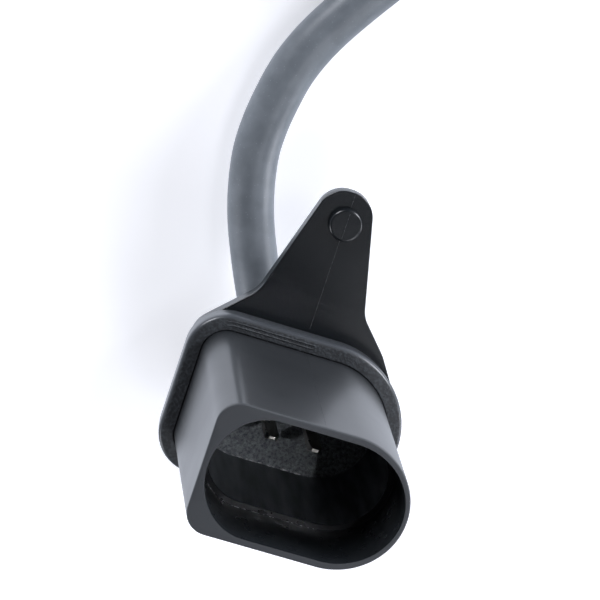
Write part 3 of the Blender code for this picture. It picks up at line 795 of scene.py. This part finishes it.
def skin_of(face):
    x, y, z = face.center / MM
    inwards = -(x * face.normal.x + (y - AXIS_Y) * face.normal.y)
    inside = abs(x) < MOUTH_WIDTH / 2 and abs(y - AXIS_Y) < MOUTH_HEIGHT / 2
    if z > RIM - RIM_BAND:
        return "rim"
    if inside and abs(z - CAVITY_FLOOR) < NEAR:
        return "floor"
    if inside and CAVITY_FLOOR < z < LEDGE - STEP_EDGE and inwards > 0:
        return "lower wall"
    if inside and z > LEDGE - LEDGE_BAND and (inwards > 0 or face.normal.z > FACES_UP):
        return "bore"
    if z > SEAL_BACK and inwards < 0 and y < EAR_TOP / 2 + AXIS_Y:
        return "outer wall"
    return "ear"


housing.data.materials.clear()
for skin in SKINS.values():
    housing.data.materials.append(skin)
for face in housing.data.polygons:
    face.material_index = list(SKINS).index(skin_of(face))
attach(housing, "root")
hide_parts("connector_housing")
print("housing has", len(housing.data.materials), "finishes")

# %% [markdown]
# ## Parting line and burrs
# The two halves of the mould meet in the middle plane of the connector. A trace of plastic
# squeezed between them stands up as a fine ridge, over the ear, the peg and the wall of the
# shroud. It follows a path, so a Geometry Nodes tree makes it: it sweeps a small circle
# along a line of points, lets its size waver, gives it the finish and realises it. The same
# tree makes the burrs on the ledge and the floor of the cavity and the ribs of the seal.

# %% Ridge tree
ridge_tree = bpy.data.node_groups.new("ridge along a line", "GeometryNodeTree")
sockets = ridge_tree.interface
sockets.new_socket("Line", in_out="INPUT", socket_type="NodeSocketGeometry")
for name, value in (("Radius", 0.05 * MM), ("Step", 0.2 * MM), ("Waver", 0.5)):
    sockets.new_socket(name, in_out="INPUT", socket_type="NodeSocketFloat").default_value = value
sockets.new_socket("Seed", in_out="INPUT", socket_type="NodeSocketInt").default_value = 7
sockets.new_socket("Finish", in_out="INPUT", socket_type="NodeSocketMaterial")
sockets.new_socket("Ridge", in_out="OUTPUT", socket_type="NodeSocketGeometry")
given = add(ridge_tree, "NodeGroupInput").outputs
curve = add(ridge_tree, "GeometryNodeMeshToCurve", {"Mesh": given["Line"]})
curve = add(
    ridge_tree,
    "GeometryNodeResampleCurve",
    {"Curve": curve.outputs["Curve"], "Length": given["Step"]},
    mode="LENGTH",
)
chance = add(
    ridge_tree,
    "FunctionNodeRandomValue",
    {"Min": 0.0, "Max": given["Waver"], "Seed": given["Seed"]},
    data_type="FLOAT",
)
thinner = add(
    ridge_tree, "ShaderNodeMath", {0: 1.0, 1: chance.outputs["Value"]}, operation="SUBTRACT"
)
circle = add(
    ridge_tree, "GeometryNodeCurvePrimitiveCircle", {"Resolution": 8, "Radius": given["Radius"]}
)
swept = add(
    ridge_tree,
    "GeometryNodeCurveToMesh",
    {
        "Curve": curve.outputs["Curve"],
        "Profile Curve": circle.outputs["Curve"],
        "Scale": thinner.outputs["Value"],
        "Fill Caps": True,
    },
)
real = add(ridge_tree, "GeometryNodeRealizeInstances", {"Geometry": swept.outputs["Mesh"]})
coated = add(
    ridge_tree,
    "GeometryNodeSetMaterial",
    {"Geometry": real.outputs["Geometry"], "Material": given["Finish"]},
)
add(ridge_tree, "NodeGroupOutput", {"Ridge": coated.outputs["Geometry"]})


def ridges(name, lines, finish, **values):
    """Ridges along lines of points in millimetres, as one plain mesh."""
    bm = bmesh.new()
    for points in lines:
        verts = [bm.verts.new(Vector(p) * MM) for p in points]
        for one, other in zip(verts, verts[1:]):
            bm.edges.new((one, other))
    made = mesh_object(name, bm, finish)
    modifier = made.modifiers.new("ridge", "NODES")
    modifier.node_group = ridge_tree
    values["Finish"] = finish
    for socket in ridge_tree.interface.items_tree:
        if socket.in_out == "INPUT" and socket.name in values:
            modifier[socket.identifier] = values[socket.name]
    settle(made)
    made.data.shade_smooth()
    print(name, "swept to", len(made.data.polygons), "faces")
    return made


# %% [markdown]
# Where thin plastic has squeezed out between mould parts inside the socket, it stands up
# as ragged ridges. Their near-white grey, changing from fleck to fleck, is a painted
# highlight for the light caught along the edges of the floor and the ledge.

# %% Flash
# Painted highlight: the pale flash grey stands for light caught on the cavity's edges.
flash_painted_highlight, tree, shader, place = new_material("glass_filled_nylon_flash_painted_highlight", "9EA2A6", 0.4)
thin = add(tree, "ShaderNodeTexNoise", {"Vector": place, "Scale": grains_per_metre(0.5)})
tone = add(
    tree,
    "ShaderNodeValToRGB",
    {"Fac": thin.outputs["Fac"]},
    stops=((0.4, "84888C"), (0.62, "E8EAEC")),
)
tree.links.new(tone.outputs["Color"], shader.inputs["Base Color"])

# %% [markdown]
# The parting line starts at the seal, stops at the peg, goes on over the peg's top and
# ends over the ear's edge. Another stretch runs up the wall of the shroud. The burrs lie
# along the lower side of the cavity, one on the edge of the ledge and one on the floor.

# %% Parting line and burrs
PARTING_X = PEG_AT[0]
PARTING_START = 10.4
CLEAR_OF_PEG = PEG_RADIUS + 0.1
PEG_TOP_REACH = 1.6
BELOW_RIM = 0.3
LINE_RADIUS = 0.04
LINE_WAVER = 0.9
FLOOR_BURR_RADIUS = 0.15
FLOOR_BURR_INSET = 0.08
FLOOR_BURR_END = 4
STEP_BURR_RADIUS = 0.045
STEP_BURR_INSET = 0.02
STEP_BURR_END = 5
LOWER_SIDE = AXIS_Y - 1


def on_parting(y, z):
    """A point in the middle plane, with y measured from the socket's axis."""
    return (PARTING_X, y + AXIS_Y, z)


def along_lower_side(shrink, height, right_end):
    """Points along the lower side of the cavity's oval, up to an x at the right."""
    around = [(x, y + AXIS_Y, height) for x, y in oval(shrink)]
    return [p for p in around if p[1] < LOWER_SIDE and p[0] < right_end]


peg_y, peg_face, wall_y = PEG_AT[1], PLATE_FRONT + PEG_HEIGHT, MOUTH_HEIGHT / 2
ear_lines = [
    [on_parting(PARTING_START, PLATE_FRONT), on_parting(peg_y - CLEAR_OF_PEG, PLATE_FRONT)],
    [
        on_parting(peg_y + CLEAR_OF_PEG, PLATE_FRONT),
        on_parting(EAR_TOP - PLATE_EDGE, PLATE_FRONT),
        on_parting(EAR_TOP, PLATE_FRONT - PLATE_EDGE),
        on_parting(EAR_TOP, PLATE_BACK + PLATE_EDGE),
    ],
    [on_parting(peg_y - PEG_TOP_REACH, peg_face), on_parting(peg_y + PEG_TOP_REACH, peg_face)],
]
wall_lines = [
    [on_parting(wall_y + SHROUD_DRAFT, SEAL_FRONT), on_parting(wall_y, RIM - BELOW_RIM)]
]
floor_run = along_lower_side(
    STEP_WIDTH + FLOOR_BURR_INSET, CAVITY_FLOOR + FLOOR_BURR_INSET, FLOOR_BURR_END
)
step_run = along_lower_side(STEP_BURR_INSET, LEDGE + STEP_BURR_INSET, STEP_BURR_END)
line_sizes = {"Radius": LINE_RADIUS * MM, "Waver": LINE_WAVER}
floor_sizes = {"Radius": FLOOR_BURR_RADIUS * MM, "Waver": LINE_WAVER}
step_sizes = {"Radius": STEP_BURR_RADIUS * MM, "Waver": 1.0}
on_housing = [
    ridges("parting_line", ear_lines, satin, **line_sizes),
    ridges("wall_parting_line", wall_lines, satin, Seed=5, **line_sizes),
    ridges("floor_burr", [floor_run], flash_painted_highlight, Seed=3, **floor_sizes),
    ridges("step_burr", [step_run], flash_painted_highlight, Seed=11, **step_sizes),
]
for piece in on_housing:
    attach(piece, "root")

# %% [markdown]
# ## Flange seal
# A D-shaped ring of moulded rubber, slid over the shroud down to the flange. The front
# face came from a spark-eroded mould: a matt dark grey with lighter grains that stand up.
# The outer side was moulded against polished steel, so it mirrors the surface beside it
# as a light band with slow ripples.

# %% Rubber of the seal
rubber, tree, shader, place = new_material("nitrile_rubber_seal_moulded", "26282B", 0.48)
grain = add(
    tree, "ShaderNodeTexNoise", {"Vector": place, "Scale": grains_per_metre(0.35), "Detail": 3}
)
speck = add(
    tree,
    "ShaderNodeMapRange",
    {
        "Value": grain.outputs["Fac"],
        "From Min": 0.42,
        "From Max": 0.66,
        "To Min": 0,
        "To Max": 1,
    },
)
tone = add(
    tree,
    "ShaderNodeValToRGB",
    {"Fac": speck.outputs["Result"]},
    stops=((0, "292B2E"), (1, "3A3E42")),
)
tree.links.new(tone.outputs["Color"], shader.inputs["Base Color"])
bump = add(
    tree,
    "ShaderNodeBump",
    {"Height": speck.outputs["Result"], "Distance": 0.04 * MM, "Strength": 0.6},
)
tree.links.new(bump.outputs["Normal"], shader.inputs["Normal"])

rubber_side = grained("nitrile_rubber_polished_side", "3A3D41", 0.3, 1.5, 0.01, strength=0.3)

# %% [markdown]
# The ring is a hollow skin, stacked up its outer side, over the front face and down its
# inner side. Its lip lies close to the shroud, as stretched rubber does. Two fine ribs run
# along the ear's side of the front face, and the ridge tree makes them.

# %% Seal ring and ribs
SEAL_DRAFT = 0.15
SEAL_EDGE = 0.5
SEAL_FOOT = 0.2
LIP_EDGE = 0.15
LIP_GAP = 0.03
LIP_BACK = 0.1
FRONT_FACING = 0.93
RIB_INSETS = (0.75, 1.2)
RIB_RADIUS = 0.16
RIB_RISE = 0.06
RIB_WAVER = 0.12
RIB_SIDE = 7.5
RIB_LEFT_END = -10.5
RIB_RIGHT_END = 0.5


def seal_outline(grow):
    return mouth(grow, SEAL_CORNER - SEAL_OVERHANG + grow)


lip = SHROUD_DRAFT + LIP_GAP
rings = [
    (seal_outline(SEAL_OVERHANG - SEAL_DRAFT - SEAL_FOOT), SEAL_BACK),
    (seal_outline(SEAL_OVERHANG - SEAL_DRAFT), SEAL_BACK + SEAL_FOOT),
    (seal_outline(SEAL_OVERHANG), SEAL_FRONT - 2 * SEAL_EDGE),
]
rings += [
    (seal_outline(SEAL_OVERHANG - inwards), SEAL_FRONT - SEAL_EDGE + rise)
    for inwards, rise in rounding(SEAL_EDGE)
]
rings += [
    (mouth(lip + outwards), SEAL_FRONT - LIP_EDGE + rise)
    for rise, outwards in reversed(rounding(LIP_EDGE, 3))
]
rings += [(mouth(lip), SEAL_BACK + LIP_BACK), (mouth(lip), SEAL_BACK)]
seal = stacked("seal", rings, rubber, sharp=50, hollow=True)
seal.data.materials.append(rubber_side)
for face in seal.data.polygons:
    face.material_index = int(abs(face.normal.z) < FRONT_FACING)

rib_lines = []
for inset in RIB_INSETS:
    around = seal_outline(SEAL_OVERHANG - inset)
    run = [(x, y) for x, y in around if y > RIB_SIDE and RIB_LEFT_END < x < RIB_RIGHT_END]
    rib_lines.append([(x, y + AXIS_Y, SEAL_FRONT + RIB_RISE - RIB_RADIUS) for x, y in run])
seal_ribs = ridges("seal_ribs", rib_lines, rubber, Radius=RIB_RADIUS * MM, Waver=RIB_WAVER)
for piece in (seal, seal_ribs):
    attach(piece, "root")
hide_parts("flange_seal")

# %% [markdown]
# ## Contacts and small pieces
# The contacts are stamped brass, tinned: a warm silver whose gloss is slightly cloudy. The
# clip on the head is rolled spring steel, which has fine marks along the rolling, so its
# noise is drawn long. The rest are even skins: extruded insulation and moulded caps are
# satin, the rubber of the grommet is duller, and enamelled wire shines.

# %% Finishes of the small pieces
tin, tree, shader, place = new_material("tinned_brass_stamped", "CFCCC4", 0.28, Metallic=1.0)
stamp = add(tree, "ShaderNodeTexNoise", {"Vector": place, "Scale": grains_per_metre(1.2)})
gloss = add(
    tree, "ShaderNodeMapRange", {"Value": stamp.outputs["Fac"], "To Min": 0.24, "To Max": 0.34}
)
tree.links.new(gloss.outputs["Result"], shader.inputs["Roughness"])

spring_steel, tree, shader, place = new_material(
    "spring_steel_rolled", "A4A6A8", 0.3, Metallic=1.0
)
drawn = add(tree, "ShaderNodeMapping", {"Vector": place, "Scale": (1, 0.05, 1)})
marks = add(
    tree, "ShaderNodeTexNoise", {"Vector": drawn.outputs["Vector"], "Scale": grains_per_metre(0.2)}
)
gloss = add(
    tree, "ShaderNodeMapRange", {"Value": marks.outputs["Fac"], "To Min": 0.24, "To Max": 0.42}
)
tree.links.new(gloss.outputs["Result"], shader.inputs["Roughness"])

FINISHES = {
    "contact_left": (tin, "tin"),
    "contact_right": (tin, "tin"),
    "core_left": (grained("pvc_insulation_brown", "5A3A28", 0.45, 0.4, 0.01), "core_brown"),
    "core_right": (grained("pvc_insulation_blue", "2C4A78", 0.45, 0.4, 0.01), "core_blue"),
    "back_cover": (grained("nylon_cover_moulded", "222428", 0.42, 0.4, 0.02), "cover"),
    "cable_grommet": (grained("nitrile_rubber_moulded", "1E2023", 0.6, 0.5, 0.03), "grommet"),
    "sensor_head": (grained("phenolic_head_moulded", "1D1F21", 0.45, 0.5, 0.03), "head"),
    "wear_loop": (grained("enamelled_copper_wire", "8A4B22", 0.3, 0.6, 0.005), "loop"),
    "spring_clip": (spring_steel, "spring"),
}
FINISHES["head_sleeve"] = FINISHES["cable_grommet"]

# %% [markdown]
# The CAD solids of these pieces have the right shape already. Each is copied, its loose
# triangles are merged, and where the light glints on an edge, as at the blade tips, a
# Bevel modifier rounds it.

# %% Small pieces from their solids
EDGES = {"contact_left": 0.13, "contact_right": 0.13, "sensor_head": 0.15, "spring_clip": 0.1}
MERGE_DISTANCE = 0.002

for name, (finish, slot) in FINISHES.items():
    bm = bmesh.new()
    bm.from_mesh(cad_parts[name].data)
    bmesh.ops.remove_doubles(bm, verts=bm.verts[:], dist=MERGE_DISTANCE * MM)
    bmesh.ops.dissolve_limit(
        bm, angle_limit=radians(1), verts=bm.verts[:], edges=bm.edges[:], delimit={"NORMAL"}
    )
    piece = mesh_object(name + "_piece", bm, finish, sharp=30)
    if EDGES.get(name):
        edge = piece.modifiers.new("edge", "BEVEL")
        edge.width, edge.segments = EDGES[name] * MM, 3
        edge.limit_method, edge.angle_limit = "ANGLE", radians(40)
    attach(piece, "root")
    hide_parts(name)

# %% [markdown]

# %% [markdown]
# ## Floor, light and background
# A plain pale floor, as in a product photograph. It is lifted to white for camera, glossy
# and transmitted rays only, so that plastic and metal mirror it too, while the light on
# the object stays at a plain level.

# %% Floor
FLOOR_HALF_WIDTH = 1.5

floor_paper, tree, shader, place = new_material("matt_white_paper", "F2F3F6", 0.9)
shader.inputs["Specular IOR Level"].default_value = 0.0
path = add(tree, "ShaderNodeLightPath")
lift = add(
    tree, "ShaderNodeMath", {0: path.outputs["Is Camera Ray"], 1: 0.5}, operation="MULTIPLY"
)
tree.links.new(lift.outputs[0], shader.inputs["Emission Strength"])
shader.inputs["Emission Color"].default_value = srgb("F8F9FF")
mirrored = add(
    tree,
    "ShaderNodeMath",
    {0: path.outputs["Is Glossy Ray"], 1: path.outputs["Is Transmission Ray"]},
    operation="MAXIMUM",
)
white = add(tree, "ShaderNodeEmission", {"Color": srgb("E9EFFC"), "Strength": 1.12})
both = add(
    tree,
    "ShaderNodeMixShader",
    {0: mirrored.outputs[0], 1: shader.outputs["BSDF"], 2: white.outputs["Emission"]},
)
tree.links.new(both.outputs["Shader"], tree.nodes["Material Output"].inputs["Surface"])
bm = bmesh.new()
bmesh.ops.create_grid(bm, x_segments=1, y_segments=1, size=FLOOR_HALF_WIDTH)
floor = mesh_object("floor", bm, floor_paper)

# %% [markdown]
# Low soft lamps stand round the object and model its walls from all sides, the strongest
# behind it. Two weaker ones hang higher and light the faces that look up. Little of that
# light gets to the bottom of the socket, so a snoot, a spot lamp with a very narrow cone,
# sends a beam down into it. The world adds a faint even light and is white to the camera.

# %% Lights and world
LAMP_DISTANCE = 1.0
LAMP_COLOUR = "F6F8FF"
LAMPS_FACE = Vector((0, 0, 30)) * MM
SNOOT_FACES = Vector((1.5, AXIS_Y - 1.5, RIM)) * MM
SNOOT_WIDTH = radians(1.15)
SNOOT_BLEND = 0.4
SNOOT_RADIUS = 12


def lamp(name, kind, azimuth, elevation, target, power):
    """A lamp that faces its target from a direction given by two angles in degrees."""
    turn, rise = radians(azimuth), radians(elevation)
    away = Vector((cos(turn) * cos(rise), sin(turn) * cos(rise), sin(rise)))
    made = bpy.data.objects.new(name, bpy.data.lights.new(name, kind))
    made.data.energy = power
    made.data.color = srgb(LAMP_COLOUR)[:3]
    made.location = target + away * LAMP_DISTANCE
    made.rotation_euler = (-away).to_track_quat("-Z", "Y").to_euler()
    bpy.context.scene.collection.objects.link(made)
    return made.data


for name, azimuth, elevation, size, power in (
    ("softbox_right", 0, 12, 0.5, 4.6),
    ("softbox_back_right", 45, 12, 0.5, 12.5),
    ("softbox_back_left", 135, 12, 0.5, 9.5),
    ("softbox_front_left", 225, 12, 0.5, 4.4),
    ("softbox_front_right", 315, 30, 0.5, 2.2),
    ("lamp_high_right", 45, 58, 0.3, 1.0),
    ("lamp_top_front", 315, 60, 0.3, 1.4),
):
    softbox = lamp(name, "AREA", azimuth, elevation, LAMPS_FACE, power)
    softbox.shape = "DISK"
    softbox.size = size
snoot = lamp("snoot_into_socket", "SPOT", 45, 73, SNOOT_FACES, 9)
snoot.spot_size = SNOOT_WIDTH
snoot.spot_blend = SNOOT_BLEND
snoot.shadow_soft_size = SNOOT_RADIUS * MM

world = bpy.data.worlds.new("studio")
bpy.context.scene.world = world
world.use_nodes = True
tree = world.node_tree
path = add(tree, "ShaderNodeLightPath")
strength = add(
    tree,
    "ShaderNodeMapRange",
    {"Value": path.outputs["Is Camera Ray"], "To Min": 0.05, "To Max": 1.0},
)
background = tree.nodes["Background"]
background.inputs["Color"].default_value = srgb("F4F6FA")
tree.links.new(strength.outputs["Result"], background.inputs["Strength"])
bpy.context.scene.view_settings.view_transform = "Standard"
print(len(bpy.data.lights), "lamps")
